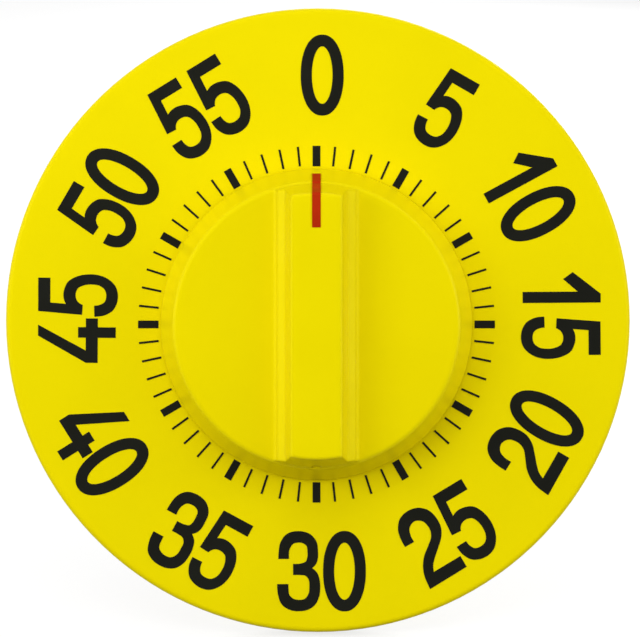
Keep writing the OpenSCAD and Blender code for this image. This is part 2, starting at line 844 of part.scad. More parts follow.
module gong() {
    t = 0.9;
    low = gong_z - gong_depth;
    outline = [
        [2.1, low], [gong_r - 4, low], [gong_r, gong_z - 1], [gong_r, gong_z], [gong_r - t, gong_z],
        [gong_r - t - 0.1, gong_z - 1.2], [gong_r - 4.3, low + t], [2.1, low + t]
    ];
    color(steel) stand_up() on_arbor() rotate_extrude($fn = 120)
        polygon(rounded(outline, [0, 2.5, 1, 0, 0, 0.8, 1.8, 0]));
}

module gong_post() {
    seat = gong_z - gong_depth + 0.9;
    foot = back_z - plate_t;
    color(brass) stand_up() on_arbor() difference() {
        translate([0, 0, seat]) cylinder(r = 6, h = foot - seat);
        translate([0, 0, foot - 3]) cylinder(r = 4.4, h = 3 + over);
        translate([0, 0, seat - over]) cylinder(r = 1.5 + play, h = 8);
    }
}

module gong_screw() {
    color(steel) stand_up() on_arbor(gong_z - gong_depth) screw(1.5, 3, 1.2, 3.2);
}

dial_plate();
minute_scale();
rear_case();
case_screws();
magnet_1();
magnet_2();
magnet_3();
magnet_4();
wire_stand();
knob();
pointer_line();
main_arbor();
ratchet_wheel();
strike_cam();
arbor_clip();
arbor_bush();
bush_nut();
front_plate();
back_plate();
plate_pillars();
pillar_nuts();
movement_screws();
mainspring();
main_wheel();
click_spring();
click();
second_wheel();
second_arbor();
hammer_star();
third_wheel();
third_arbor();
escape_wheel();
escape_arbor();
pallet_lever();
pallet_pins();
pallet_arbor();
balance_wheel();
balance_staff();
balance_roller();
hairspring();
hairspring_stud();
strike_lever();
lever_stud();
lever_spring();
hammer_arbor();
hammer_tail();
hammer_arm();
hammer_head();
gong();
gong_post();
gong_screw();
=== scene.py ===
"""Looks of a round mechanical countdown timer: finishes for its moulded, printed and metal pieces,
the numbers on its dial, the threads of its screws, and a plain studio to see it in."""

import json
import math

import bmesh
import bpy
from bpy.props import FloatProperty, FloatVectorProperty, IntProperty, PointerProperty
from bpy.types import Operator, Panel, PropertyGroup
from mathutils import Matrix, Vector


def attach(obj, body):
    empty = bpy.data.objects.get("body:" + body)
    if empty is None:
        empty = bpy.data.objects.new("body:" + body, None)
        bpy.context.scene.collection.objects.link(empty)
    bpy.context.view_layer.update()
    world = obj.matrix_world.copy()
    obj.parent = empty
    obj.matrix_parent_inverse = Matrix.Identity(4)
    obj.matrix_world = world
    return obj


bl_info = {
    "name": "Countdown Timer Looks",
    "version": (1, 0, 0),
    "blender": (4, 5, 0),
    "location": "View3D > Sidebar > Timer",
    "description": "Finishes, printed numbers, screw threads and a studio for a round dial timer",
    "category": "Object",
}

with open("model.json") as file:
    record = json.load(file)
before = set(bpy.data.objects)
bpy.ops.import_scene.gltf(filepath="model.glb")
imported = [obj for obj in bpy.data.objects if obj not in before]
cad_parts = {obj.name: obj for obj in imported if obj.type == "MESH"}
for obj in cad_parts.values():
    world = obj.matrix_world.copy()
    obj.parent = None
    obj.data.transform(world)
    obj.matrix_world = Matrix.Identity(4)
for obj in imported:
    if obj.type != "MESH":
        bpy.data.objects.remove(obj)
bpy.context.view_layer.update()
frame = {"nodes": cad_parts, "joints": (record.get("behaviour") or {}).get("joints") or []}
MM = 0.001

# ---- The dial's own directions, from the knob's joint and the printed scale ----

KNOB_JOINT = next(joint for joint in frame["joints"] if joint["name"] == "knob_turn")
ARBOR = Vector(KNOB_JOINT["pos_m"])
RIGHT = Vector((1.0, 0.0, 0.0))
OUT = -Vector(KNOB_JOINT["axis"])
UP = OUT.cross(RIGHT)
SKYWARD = Vector((0.0, 0.0, 1.0))


def reach(node, direction):
    """How far a node lies along a direction: its nearest and farthest points."""
    along = [vertex.co.dot(direction) for vertex in frame["nodes"][node].data.vertices]
    return min(along), max(along)


def dial_frame():
    """The frame that the dial is drawn in: X right, Y up the dial, Z out of its front face."""
    low, high = reach("dial_plate", UP)
    left, right = reach("dial_plate", RIGHT)
    face = reach("minute_scale", OUT)[0]
    middle = RIGHT * (left + right) / 2 + UP * (low + high) / 2 + OUT * face
    axes = Matrix((RIGHT, UP, OUT)).transposed().to_4x4()
    return Matrix.Translation(middle) @ axes


DIAL = dial_frame()
LEAN = math.atan2(UP.y, UP.z)


def paint(red, green, blue):
    """A colour from a paint chart's 0 to 255 values, as the linear light that a finish takes."""
    def linear(value):
        value /= 255
        return value / 12.92 if value <= 0.04045 else ((value + 0.055) / 1.055) ** 2.4
    return linear(red), linear(green), linear(blue)


def colour_setting(name, description, chart):
    """A colour that the user may change."""
    return FloatVectorProperty(
        name=name, description=description, subtype="COLOR", size=3, min=0.0, max=1.0,
        default=paint(*chart),
    )


def length_setting(name, description, millimetres):
    """A size that the user may change, shown in the scene's unit of length."""
    return FloatProperty(
        name=name, description=description, subtype="DISTANCE", unit="LENGTH", min=0.0,
        precision=5, default=millimetres * MM,
    )


# ---- Settings ----

class TIMER_PG_mouldings(PropertyGroup):
    """Colours and surface of the moulded pieces."""

    yellow: colour_setting("Yellow", "Plastic of the dial and the knob", (243, 224, 0))
    black: colour_setting("Black", "Plastic of the rear case", (40, 40, 42))
    grain: length_setting("Grain", "Depth of the fine grain that the mould leaves", 0.012)
    edge: length_setting("Edge", "Radius at which the edges are rubbed", 0.7)


class TIMER_PG_print(PropertyGroup):
    """The printed numbers and lines."""

    ink: colour_setting("Ink", "Colour of the numbers and the marks", (22, 23, 21))
    red: colour_setting("Red", "Colour of the line on the knob", (184, 44, 13))
    film: length_setting("Film", "Thickness of the printed numbers", 0.1)
    curve_steps: IntProperty(
        name="Curve steps", description="Steps between two points of a digit's outline",
        min=2, max=16, default=6,
    )


class TIMER_PG_metals(PropertyGroup):
    """Colours of the metal pieces."""

    steel: colour_setting("Steel", "Nickel-plated steel of screws, arbors and levers", (206, 207, 210))
    wire: colour_setting("Wire", "Plated wire of the stand", (214, 215, 218))
    brass: colour_setting("Brass", "Rolled brass of the plates and wheels", (214, 178, 98))
    blued: colour_setting("Blued", "Blued steel of the springs", (52, 66, 112))
    gong: colour_setting("Gong", "Hardened steel of the gong", (200, 200, 203))
    ferrite: colour_setting("Ferrite", "Sintered ferrite of the magnets", (88, 88, 88))
    thread_rise: length_setting("Thread rise", "How far a screw thread stands off its core", 0.22)
    thread_steps: IntProperty(
        name="Thread steps", description="Steps in one turn of a screw thread", min=12, max=64,
        default=24,
    )


class TIMER_PG_stage(PropertyGroup):
    """The studio: floor, light and camera."""

    camera_distance: length_setting("Camera distance", "From the camera to the dial", 900.0)
    camera_lens: FloatProperty(
        name="Lens", description="Focal length of the camera", subtype="DISTANCE_CAMERA",
        unit="CAMERA", min=10.0, default=177.8,
    )
    camera_raise: FloatProperty(
        name="Camera raise", description="How far the camera stands above the dial's own normal",
        subtype="ANGLE", unit="ROTATION", default=math.radians(1.2),
    )
    lamp_power: FloatProperty(
        name="Lamps", description="Power of all the soft lamps together", subtype="POWER",
        unit="POWER", min=0.0, default=10.0,
    )
    fill_light: FloatProperty(
        name="Fill light", description="Strength of the even light from all round",
        subtype="FACTOR", min=0.0, max=2.0, default=0.36,
    )
    floor: colour_setting("Floor", "Colour of the floor", (120, 120, 120))


def settings(context, group):
    """The scene's settings of that group."""
    return getattr(context.scene, "timer_" + group)


# ---- Laying out a finish ----

class Finish:
    """A procedural material while its nodes are laid out."""

    def __init__(self, name, roughness=0.5, metallic=0.0):
        self.material = bpy.data.materials.new(name)
        self.material.use_nodes = True
        self.tree = self.material.node_tree
        self.tree.nodes.clear()
        self.shader = self.node("ShaderNodeBsdfPrincipled")
        self.shader.inputs["Roughness"].default_value = roughness
        self.shader.inputs["Metallic"].default_value = metallic
        output = self.node("ShaderNodeOutputMaterial")
        self.link(self.shader.outputs["BSDF"], output.inputs["Surface"])
        self.place = self.node("ShaderNodeTexCoord").outputs["Object"]
        self.height_normal = None

    def node(self, kind, **values):
        """A new node, with its plain settings."""
        made = self.tree.nodes.new(kind)
        for key, value in values.items():
            setattr(made, key, value)
        return made

    def link(self, source, target):
        self.tree.links.new(source, target)

    def feed(self, socket, value):
        """Sets an input to a number or a colour, or links it to another node's output."""
        if isinstance(value, bpy.types.NodeSocket):
            self.link(value, socket)
        else:
            socket.default_value = value

    def in_dial(self, stretch=(1.0, 1.0, 1.0)):
        """Places in the dial's own directions about the arbor, stretched along them."""
        turn = Matrix.Rotation(-(math.pi / 2 - LEAN), 3, "X")
        turned = self.node("ShaderNodeMapping")
        turned.inputs["Location"].default_value = -(turn @ ARBOR)
        turned.inputs["Rotation"].default_value = turn.to_euler()
        self.link(self.place, turned.inputs["Vector"])
        stretched = self.node("ShaderNodeMapping")
        stretched.inputs["Scale"].default_value = stretch
        self.link(turned.outputs["Vector"], stretched.inputs["Vector"])
        return stretched.outputs["Vector"]

    def noise(self, scale, detail=3.0, place=None, distortion=0.0):
        """Cloudy noise of so many cells to a metre."""
        cloud = self.node("ShaderNodeTexNoise")
        cloud.inputs["Scale"].default_value = scale
        cloud.inputs["Detail"].default_value = detail
        cloud.inputs["Distortion"].default_value = distortion
        self.link(place or self.place, cloud.inputs["Vector"])
        return cloud.outputs["Fac"]

    def cells(self, scale):
        """Distance to the nearest of many scattered points."""
        grains = self.node("ShaderNodeTexVoronoi", feature="F1")
        grains.inputs["Scale"].default_value = scale
        self.link(self.place, grains.inputs["Vector"])
        return grains.outputs["Distance"]

    def rings(self, scale, detail=4.0):
        """Fine rings about the arbor, as a lathe leaves them."""
        split = self.node("ShaderNodeSeparateXYZ")
        self.link(self.in_dial(), split.inputs["Vector"])
        flat = self.node("ShaderNodeCombineXYZ")
        self.link(split.outputs["X"], flat.inputs["X"])
        self.link(split.outputs["Y"], flat.inputs["Y"])
        radius = self.node("ShaderNodeVectorMath", operation="LENGTH")
        self.link(flat.outputs["Vector"], radius.inputs[0])
        cloud = self.node("ShaderNodeTexNoise", noise_dimensions="1D")
        cloud.inputs["Scale"].default_value = scale
        cloud.inputs["Detail"].default_value = detail
        self.link(radius.outputs["Value"], cloud.inputs["W"])
        return cloud.outputs["Fac"]

    def span(self, value, low, high, to_low=0.0, to_high=1.0):
        """Spreads a value from low..high to to_low..to_high, and holds it there."""
        spread = self.node("ShaderNodeMapRange", interpolation_type="SMOOTHSTEP")
        self.feed(spread.inputs["Value"], value)
        for name, number in zip(
            ("From Min", "From Max", "To Min", "To Max"), (low, high, to_low, to_high)
        ):
            spread.inputs[name].default_value = number
        return spread.outputs["Result"]

    def sum(self, operation, first, second):
        """Two values added, multiplied or otherwise combined."""
        made = self.node("ShaderNodeMath", operation=operation)
        self.feed(made.inputs[0], first)
        self.feed(made.inputs[1], second)
        return made.outputs["Value"]

    def blend(self, amount, first, second):
        """Two colours mixed by an amount."""
        made = self.node("ShaderNodeMix", data_type="RGBA", blend_type="MIX")
        factor, one, two = made.inputs[0], made.inputs[6], made.inputs[7]
        self.feed(factor, amount)
        for socket, colour in ((one, first), (two, second)):
            self.feed(socket, colour if hasattr(colour, "node") else (*colour, 1.0))
        return made.outputs[2]

    def edges(self, radius, softness=0.5):
        """1 where an edge stands out and is rubbed, 0 on the flat; it also rounds the edge's shading."""
        rounded = self.node("ShaderNodeBevel", samples=6)
        rounded.inputs["Radius"].default_value = radius
        flat = self.node("ShaderNodeNewGeometry")
        compare = self.node("ShaderNodeVectorMath", operation="DOT_PRODUCT")
        self.link(rounded.outputs["Normal"], compare.inputs[0])
        self.link(flat.outputs["Normal"], compare.inputs[1])
        soft = self.node("ShaderNodeBevel", samples=6)
        soft.inputs["Radius"].default_value = radius * softness
        self.height_normal = soft.outputs["Normal"]
        return self.span(compare.outputs["Value"], 0.995, 0.86)

    def crevices(self, distance):
        """1 in a tight corner, 0 in the open."""
        shade = self.node("ShaderNodeAmbientOcclusion", samples=6)
        shade.inputs["Distance"].default_value = distance
        return self.span(shade.outputs["AO"], 0.5, 0.12)

    def relief(self, height, depth, strength=1.0):
        """Adds a height of that depth to the surface."""
        bump = self.node("ShaderNodeBump")
        bump.inputs["Strength"].default_value = strength
        bump.inputs["Distance"].default_value = depth
        self.link(height, bump.inputs["Height"])
        if self.height_normal is not None:
            self.link(self.height_normal, bump.inputs["Normal"])
        self.height_normal = bump.outputs["Normal"]

    def done(self, colour, roughness=None):
        """Joins colour, roughness and relief to the shader and hands the material over."""
        self.feed(self.shader.inputs["Base Color"], colour)
        if roughness is not None:
            self.feed(self.shader.inputs["Roughness"], roughness)
        if self.height_normal is not None:
            self.link(self.height_normal, self.shader.inputs["Normal"])
        return self.material


def scaled(colour, factor):
    """A colour made lighter or darker, kept within range."""
    return tuple(min(1.0, channel * factor) for channel in colour)


def toned(colour, other, share):
    """A colour taken part of the way towards another."""
    return tuple(one + (two - one) * share for one, two in zip(colour, other))


def dress(material, *nodes):
    """Gives CAD nodes a finish."""
    for node in nodes:
        piece = frame["nodes"][node]
        for slot in piece.material_slots:
            slot.material = material


# ---- Finishes of the moulded pieces ----

SHEEN_OF_YELLOW = (1.0, 0.93, 0.03, 1.0)


def yellow_moulding(name, look, gloss, handled):
    """Yellow styrene as it leaves the mould, rubbed along its edges, with painted shade darkening its
    corners.
    """
    finish = Finish(name)
    finish.shader.inputs["Specular IOR Level"].default_value = 0.35
    finish.shader.inputs["Specular Tint"].default_value = SHEEN_OF_YELLOW
    base = tuple(look.yellow)
    cloud = finish.span(finish.noise(22.0, 4.0), 0.3, 0.7)
    tinted = finish.blend(cloud, scaled(base, 0.965), base)
    speck = finish.span(finish.noise(1400.0, 2.0), 0.62, 0.78, 0.0, 0.35)
    tinted = finish.blend(speck, tinted, scaled(base, 0.93))
    edge = finish.edges(look.edge, 1.7)
    patch = finish.span(finish.noise(260.0, 4.0), 0.42, 0.62)
    rubbed = finish.sum("MULTIPLY", edge, patch)
    tinted = finish.blend(finish.sum("MULTIPLY", rubbed, 0.10), tinted, paint(248, 232, 30))
    # Painted shade: in tight corners the yellow darkens in cloudy patches towards a deeper yellow.
    corner = finish.crevices(2.0 * MM)
    painted_corner_shade = finish.sum("MULTIPLY", corner, finish.span(finish.noise(120.0, 5.0), 0.2, 0.8, 0.12, 0.4))
    tinted = finish.blend(painted_corner_shade, tinted, paint(172, 158, 16))
    scratch = finish.noise(3200.0, 2.0, finish.in_dial((0.05, 1.0, 0.4)))
    scuff = finish.span(scratch, 0.60, 0.72, 0.0, 0.09)
    dull = finish.span(finish.noise(60.0, 5.0), 0.3, 0.7, gloss - handled, gloss + 0.07)
    rough = finish.sum("SUBTRACT", finish.sum("ADD", dull, scuff), finish.sum("MULTIPLY", rubbed, 0.04))
    finish.relief(finish.noise(2600.0, 2.0), look.grain, 0.35)
    finish.relief(finish.noise(90.0, 2.0), 0.03 * MM, 0.25)
    finish.relief(scuff, 0.01 * MM, 0.5)
    return finish.done(tinted, rough)


def black_moulding(look):
    """Black styrene with a fine spark-eroded grain, greyed along its edges."""
    finish = Finish("Black case moulding")
    base = tuple(look.black)
    cloud = finish.span(finish.noise(35.0, 4.0), 0.3, 0.7)
    tinted = finish.blend(cloud, scaled(base, 0.85), scaled(base, 1.15))
    edge = finish.edges(look.edge)
    rubbed = finish.sum("MULTIPLY", edge, finish.span(finish.noise(300.0, 4.0), 0.4, 0.65))
    tinted = finish.blend(finish.sum("MULTIPLY", rubbed, 0.45), tinted, paint(92, 92, 95))
    corner = finish.crevices(3.0 * MM)
    lint = finish.sum("MULTIPLY", corner, finish.span(finish.noise(700.0, 5.0), 0.5, 0.8, 0.0, 0.3))
    tinted = finish.blend(lint, tinted, paint(110, 106, 98))
    grain = finish.cells(2100.0)
    rough = finish.sum("SUBTRACT", finish.span(finish.noise(80.0, 4.0), 0.3, 0.7, 0.46, 0.6),
                       finish.sum("MULTIPLY", rubbed, 0.12))
    finish.relief(grain, look.grain * 2.5, 0.5)
    finish.relief(finish.noise(700.0, 3.0), look.grain, 0.4)
    return finish.done(tinted, rough)


# ---- Finishes of the print ----

SHEEN_OF_INK = (1.0, 0.98, 0.5, 1.0)
SHEEN_OF_RED = (1.0, 0.4, 0.12, 1.0)


def printing_ink(name, colour, look, sheen):
    """Screen-printed ink: a thin satin film with the weave of the screen in it."""
    finish = Finish(name)
    finish.shader.inputs["Specular IOR Level"].default_value = 0.06
    finish.shader.inputs["Specular Tint"].default_value = sheen
    base = tuple(colour)
    body = finish.span(finish.noise(90.0, 4.0), 0.3, 0.7)
    tinted = finish.blend(body, scaled(base, 0.88), scaled(base, 1.14))
    pin = finish.span(finish.cells(1500.0), 0.05, 0.12, 0.5, 0.0)
    tinted = finish.blend(pin, tinted, scaled(base, 1.6))
    weave = finish.sum("MULTIPLY", finish.noise(5200.0, 1.0, finish.in_dial((1.0, 0.1, 0.1))),
                       finish.noise(5200.0, 1.0, finish.in_dial((0.1, 1.0, 0.1))))
    finish.relief(weave, look.film * 0.06, 0.4)
    rough = finish.span(finish.noise(240.0, 3.0), 0.3, 0.7, 0.46, 0.58)
    return finish.done(tinted, rough)


# ---- Finishes of the metal pieces ----

TARNISH_BROWN = (0.2, 0.13, 0.07)


def metal(name, colour, shine, working, tarnish, edge_radius=0.12 * MM, grain_depth=0.004 * MM):
    """A worked metal: its own grain, a breath of tarnish, brighter edges and painted shade in its
    corners.
    """
    finish = Finish(name, metallic=1.0)
    base = tuple(colour)
    grain = working(finish)
    spots = finish.span(finish.noise(160.0, 6.0, distortion=0.4), 0.52, 0.75)
    tinted = finish.blend(finish.span(grain, 0.3, 0.7), scaled(base, 0.9), base)
    tarnished = toned(scaled(base, 0.45), TARNISH_BROWN, 0.35)
    tinted = finish.blend(finish.sum("MULTIPLY", spots, tarnish), tinted, tarnished)
    edge = finish.edges(edge_radius)
    tinted = finish.blend(finish.sum("MULTIPLY", edge, 0.6), tinted, scaled(base, 1.15))
    # Painted shade: in tight corners the metal's colour darkens towards a much darker tone of itself.
    corner = finish.crevices(1.5 * MM)
    tinted = finish.blend(finish.sum("MULTIPLY", corner, 0.35), tinted, scaled(base, 0.4))
    rough = finish.sum("ADD", finish.span(grain, 0.3, 0.7, shine, shine + 0.12),
                       finish.sum("MULTIPLY", spots, 0.18))
    finish.relief(grain, grain_depth, 0.6)
    return finish.done(tinted, rough)


STREAKS = 900.0


def rolled(finish):
    """Straight grain across the sheet, as rolling and brushing leave it."""
    return finish.noise(STREAKS, 4.0, finish.in_dial((0.06, 3.0, 1.0)))


def turned(finish):
    """Rings about the arbor."""
    return finish.rings(2600.0)


def drawn(finish):
    """Long streaks up and down the piece, as drawing through a die leaves them."""
    return finish.noise(STREAKS, 4.0, finish.in_dial((3.0, 3.0, 0.08)))


def ferrite(look):
    """Sintered ferrite with a ground face and crumbled edges."""
    finish = Finish("Ferrite")
    base = tuple(look.ferrite)
    grains = finish.cells(1600.0)
    tinted = finish.blend(finish.span(grains, 0.1, 0.6), scaled(base, 1.25), scaled(base, 0.75))
    edge = finish.edges(0.4 * MM)
    chipped = finish.sum("MULTIPLY", edge, finish.span(finish.noise(900.0, 4.0), 0.45, 0.6))
    tinted = finish.blend(finish.sum("MULTIPLY", chipped, 0.6), tinted, paint(112, 110, 108))
    lines = finish.noise(2400.0, 2.0, finish.in_dial((0.04, 1.0, 1.0)))
    finish.relief(lines, 0.01 * MM, 0.5)
    finish.relief(grains, 0.02 * MM, 0.4)
    rough = finish.span(lines, 0.3, 0.7, 0.42, 0.62)
    return finish.done(tinted, rough)


# ---- Digits: outlines in millimetres from a digit's middle; True where the outline turns sharply ----

SHARP = True
SMOOTH = False


def oval(half_width, half_height, fullness, points=40):
    """An oval whose sides are a little straighter than an ellipse's."""
    outline = []
    for index in range(points):
        angle = 2 * math.pi * index / points
        across, along = math.cos(angle), math.sin(angle)
        x = half_width * math.copysign(abs(across) ** (2 / fullness), across)
        y = half_height * math.copysign(abs(along) ** (2 / fullness), along)
        outline.append((x, y, SMOOTH))
    return outline


DIGITS = {
    "0": [oval(6.1, 11.5, 2.16), oval(2.95, 8.15, 2.0)],
    "1": [[
        (0.7, 11.25, SHARP), (3.25, 11.25, SHARP), (3.25, -10.95, SHARP), (0.1, -10.95, SHARP),
        (0.1, 4.75, SHARP), (-3.5, 0.6, SHARP), (-5.45, 3.35, SHARP),
    ]],
    "2": [[
        (-5.85, 2.65, SHARP), (-5.75, 5.1, SMOOTH), (-5.15, 7.7, SMOOTH), (-3.05, 10.3, SMOOTH),
        (0.0, 11.1, SMOOTH), (2.9, 10.5, SMOOTH), (5.2, 8.35, SMOOTH), (6.1, 4.85, SMOOTH),
        (5.85, 2.35, SMOOTH), (4.65, 0.05, SMOOTH), (2.5, -2.05, SMOOTH), (-0.2, -4.4, SMOOTH),
        (-1.6, -5.9, SMOOTH), (-2.4, -7.65, SHARP), (6.4, -7.6, SHARP), (6.4, -11.15, SHARP),
        (-5.8, -11.35, SHARP), (-5.7, -10.0, SMOOTH), (-5.25, -7.1, SMOOTH),
        (-4.05, -4.35, SMOOTH), (-2.4, -2.3, SMOOTH), (0.1, -0.35, SMOOTH), (1.95, 1.25, SMOOTH),
        (2.75, 3.05, SMOOTH), (2.8, 4.5, SMOOTH), (2.2, 6.4, SMOOTH), (0.1, 7.6, SMOOTH),
        (-2.0, 6.65, SMOOTH), (-2.7, 5.1, SMOOTH), (-2.9, 2.6, SHARP),
    ]],
    "3": [[
        (-5.95, 3.5, SHARP), (-5.85, 5.6, SMOOTH), (-5.25, 8.45, SMOOTH), (-3.55, 10.6, SMOOTH),
        (-0.15, 11.45, SMOOTH), (3.15, 10.55, SMOOTH), (4.95, 8.4, SMOOTH), (5.35, 5.6, SMOOTH),
        (5.25, 3.3, SMOOTH), (4.7, 1.9, SMOOTH), (3.7, 0.9, SHARP), (5.1, -0.45, SMOOTH),
        (5.85, -2.65, SMOOTH), (5.98, -5.0, SMOOTH), (5.65, -7.4, SMOOTH), (4.25, -9.9, SMOOTH),
        (2.1, -11.15, SMOOTH), (-0.15, -11.45, SMOOTH), (-2.7, -11.05, SMOOTH),
        (-5.0, -9.5, SMOOTH), (-6.0, -6.95, SMOOTH), (-6.3, -3.7, SHARP), (-3.1, -3.7, SHARP),
        (-3.05, -4.95, SMOOTH), (-2.7, -6.95, SMOOTH), (-1.55, -7.9, SMOOTH),
        (-0.15, -8.2, SMOOTH), (1.55, -7.9, SMOOTH), (2.7, -6.35, SMOOTH), (2.9, -4.35, SMOOTH),
        (2.7, -2.4, SMOOTH), (1.85, -1.35, SMOOTH), (0.4, -1.1, SMOOTH), (-1.75, -1.1, SHARP),
        (-1.75, 2.1, SHARP), (0.4, 2.2, SMOOTH), (1.85, 2.75, SMOOTH), (2.35, 4.15, SMOOTH),
        (2.35, 5.6, SMOOTH), (2.0, 7.3, SMOOTH), (1.0, 8.0, SMOOTH), (-0.3, 8.15, SMOOTH),
        (-1.75, 7.75, SMOOTH), (-2.65, 6.45, SMOOTH), (-2.9, 3.5, SHARP),
    ]],
    "4": [[
        (1.35, 11.15, SHARP), (4.45, 11.15, SHARP), (-2.8, -2.45, SHARP), (0.85, -2.45, SHARP),
        (0.85, -0.25, SHARP), (3.85, -0.25, SHARP), (3.85, -2.45, SHARP), (6.35, -2.45, SHARP),
        (6.35, -5.85, SHARP), (3.85, -5.85, SHARP), (3.85, -10.95, SHARP), (0.85, -10.95, SHARP),
        (0.85, -5.85, SHARP), (-6.3, -5.85, SHARP), (-6.3, -2.5, SHARP),
    ]],
    "5": [[
        (-4.55, 11.15, SHARP), (4.95, 11.2, SHARP), (4.95, 7.75, SHARP), (-2.1, 7.75, SHARP),
        (-2.45, 3.3, SHARP), (-1.35, 3.8, SMOOTH), (0.15, 4.0, SMOOTH), (1.75, 3.75, SMOOTH),
        (3.75, 2.8, SMOOTH), (5.25, 0.5, SMOOTH), (5.98, -2.85, SMOOTH), (5.85, -5.65, SMOOTH),
        (4.75, -8.6, SMOOTH), (2.55, -10.85, SMOOTH), (0.15, -11.5, SMOOTH),
        (-2.05, -11.25, SMOOTH), (-4.05, -10.25, SMOOTH), (-5.65, -7.7, SMOOTH),
        (-6.05, -4.85, SHARP), (-2.9, -4.75, SHARP), (-2.7, -6.25, SMOOTH), (-1.85, -7.7, SMOOTH),
        (0.0, -8.2, SMOOTH), (1.55, -7.8, SMOOTH), (2.7, -6.4, SMOOTH), (3.1, -4.25, SMOOTH),
        (2.9, -2.0, SMOOTH), (1.85, 0.0, SMOOTH), (0.0, 0.55, SMOOTH), (-1.55, 0.1, SMOOTH),
        (-2.55, -1.1, SMOOTH), (-2.7, -1.5, SHARP), (-5.55, -1.3, SHARP),
    ]],
}

# Each number: angle round the dial, distance from its middle, turn of the digits, digit spacing
NUMBERS = {
    "0": (1.0, 69.9, 0.0, 13.0),
    "5": (31.1, 70.0, 30.0, 13.0),
    "10": (58.9, 69.7, 61.5, 12.5),
    "15": (88.5, 69.3, 89.6, 13.2),
    "20": (118.3, 70.4, -59.8, 12.9),
    "25": (148.7, 70.8, -30.7, 12.9),
    "30": (179.1, 71.4, 0.0, 12.9),
    "35": (208.3, 71.4, 28.7, 13.0),
    "40": (239.8, 71.8, 58.0, 12.8),
    "45": (270.7, 68.5, -89.5, 12.9),
    "50": (301.0, 68.8, -59.4, 13.0),
    "55": (331.2, 69.0, -31.3, 13.0),
}


def direction_at(before, point, after):
    """The direction of an even curve as it runs through a smooth point."""
    back, ahead = math.dist(before[:2], point[:2]), math.dist(point[:2], after[:2])
    return [
        ((point[i] - before[i]) / back * ahead + (after[i] - point[i]) / ahead * back) / (back + ahead)
        for i in (0, 1)
    ]


def drawn_outline(points, steps):
    """An outline as a fine polygon: straight between sharp points, an even curve through others."""
    fine = []
    count = len(points)
    for index in range(count):
        before, start, end, after = (points[(index + k) % count] for k in (-1, 0, 1, 2))
        if start[2] and end[2]:
            fine.append(start[:2])
            continue
        length = math.dist(start[:2], end[:2])
        chord = [(end[i] - start[i]) / length for i in (0, 1)]
        leave = None if start[2] else direction_at(before, start, end)
        arrive = None if end[2] else direction_at(start, end, after)
        if leave is None:
            leave = [1.5 * chord[i] - 0.5 * arrive[i] for i in (0, 1)]
        if arrive is None:
            arrive = [1.5 * chord[i] - 0.5 * leave[i] for i in (0, 1)]
        for step in range(steps):
            t = step / steps
            weights = (
                2 * t**3 - 3 * t * t + 1, (t**3 - 2 * t * t + t) * length,
                3 * t * t - 2 * t**3, (t**3 - t * t) * length,
            )
            fine.append(tuple(
                sum(w * v[i] for w, v in zip(weights, (start, leave, end, arrive))) for i in (0, 1)
            ))
    return fine


def print_number(text, look, material):
    """One number, printed on the dial as a thin film of ink."""
    angle, distance, turn, spacing = NUMBERS[text]
    curve = bpy.data.curves.new("number_" + text, "CURVE")
    curve.dimensions = "2D"
    curve.fill_mode = "BOTH"
    curve.extrude = look.film / 2
    for place, digit in enumerate(text):
        shift = (place - (len(text) - 1) / 2) * spacing
        for outline in DIGITS[digit]:
            fine = drawn_outline(outline, look.curve_steps)
            spline = curve.splines.new("POLY")
            spline.points.add(len(fine) - 1)
            for point, (x, y) in zip(spline.points, fine):
                point.co = ((x + shift) * MM, y * MM, 0.0, 1.0)
            spline.use_cyclic_u = True
    drawing = bpy.data.objects.new("number_drawing", curve)
    bpy.context.scene.collection.objects.link(drawing)
    shape = bpy.data.meshes.new_from_object(drawing.evaluated_get(bpy.context.evaluated_depsgraph_get()))
    bpy.data.objects.remove(drawing)
    bpy.data.curves.remove(curve)
    shape.name = "number_" + text
    piece = bpy.data.objects.new("number_" + text, shape)
    bpy.context.scene.collection.objects.link(piece)
    shape.materials.clear()
    shape.materials.append(material)
    bearing = math.radians(angle)
    middle = Vector((distance * MM * math.sin(bearing), distance * MM * math.cos(bearing), look.film / 2))
    shape.transform(DIAL @ Matrix.Translation(middle) @ Matrix.Rotation(math.radians(-turn), 4, "Z"))
    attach(piece, "root")
    return piece


# ---- Screw threads ----

# Piece, screws, core radius, pitch, where the thread starts in front of the head's face, its length
THREADS = (
    ("case_screw_threads", "case_screws", 1.45, 1.1, 9.5, 11.6),
    ("movement_screw_threads", "movement_screws", 1.25, 0.8, 2.2, 3.8),
    ("gong_screw_threads", "gong_screw", 1.5, 0.6, 1.7, 2.3),
)


THREAD_SINK = 0.1 * MM  # How far a thread's foot lies inside the core
THREAD_HALF = 0.4  # Half of a thread's foot, as a share of the pitch
WELD = 0.001 * MM  # How near two corners lie that are one


def loose_parts(node):
    """The separate solids of a node, each as the places of its corners."""
    solids = bmesh.new()
    solids.from_mesh(frame["nodes"][node].data)
    bmesh.ops.remove_doubles(solids, verts=solids.verts[:], dist=WELD)
    seen = set()
    parts = []
    for first in solids.verts:
        if first in seen:
            continue
        seen.add(first)
        ahead, places = [first], []
        while ahead:
            vertex = ahead.pop()
            places.append(vertex.co.copy())
            for edge in vertex.link_edges:
                other = edge.other_vert(vertex)
                if other not in seen:
                    seen.add(other)
                    ahead.append(other)
        parts.append(places)
    solids.free()
    return parts


def middle_and_foot(places):
    """The point on a screw's axis at its rear end."""
    across, along, depth = ([place.dot(way) for place in places] for way in (RIGHT, UP, OUT))
    return (RIGHT * (min(across) + max(across)) + UP * (min(along) + max(along))) / 2 + OUT * min(depth)


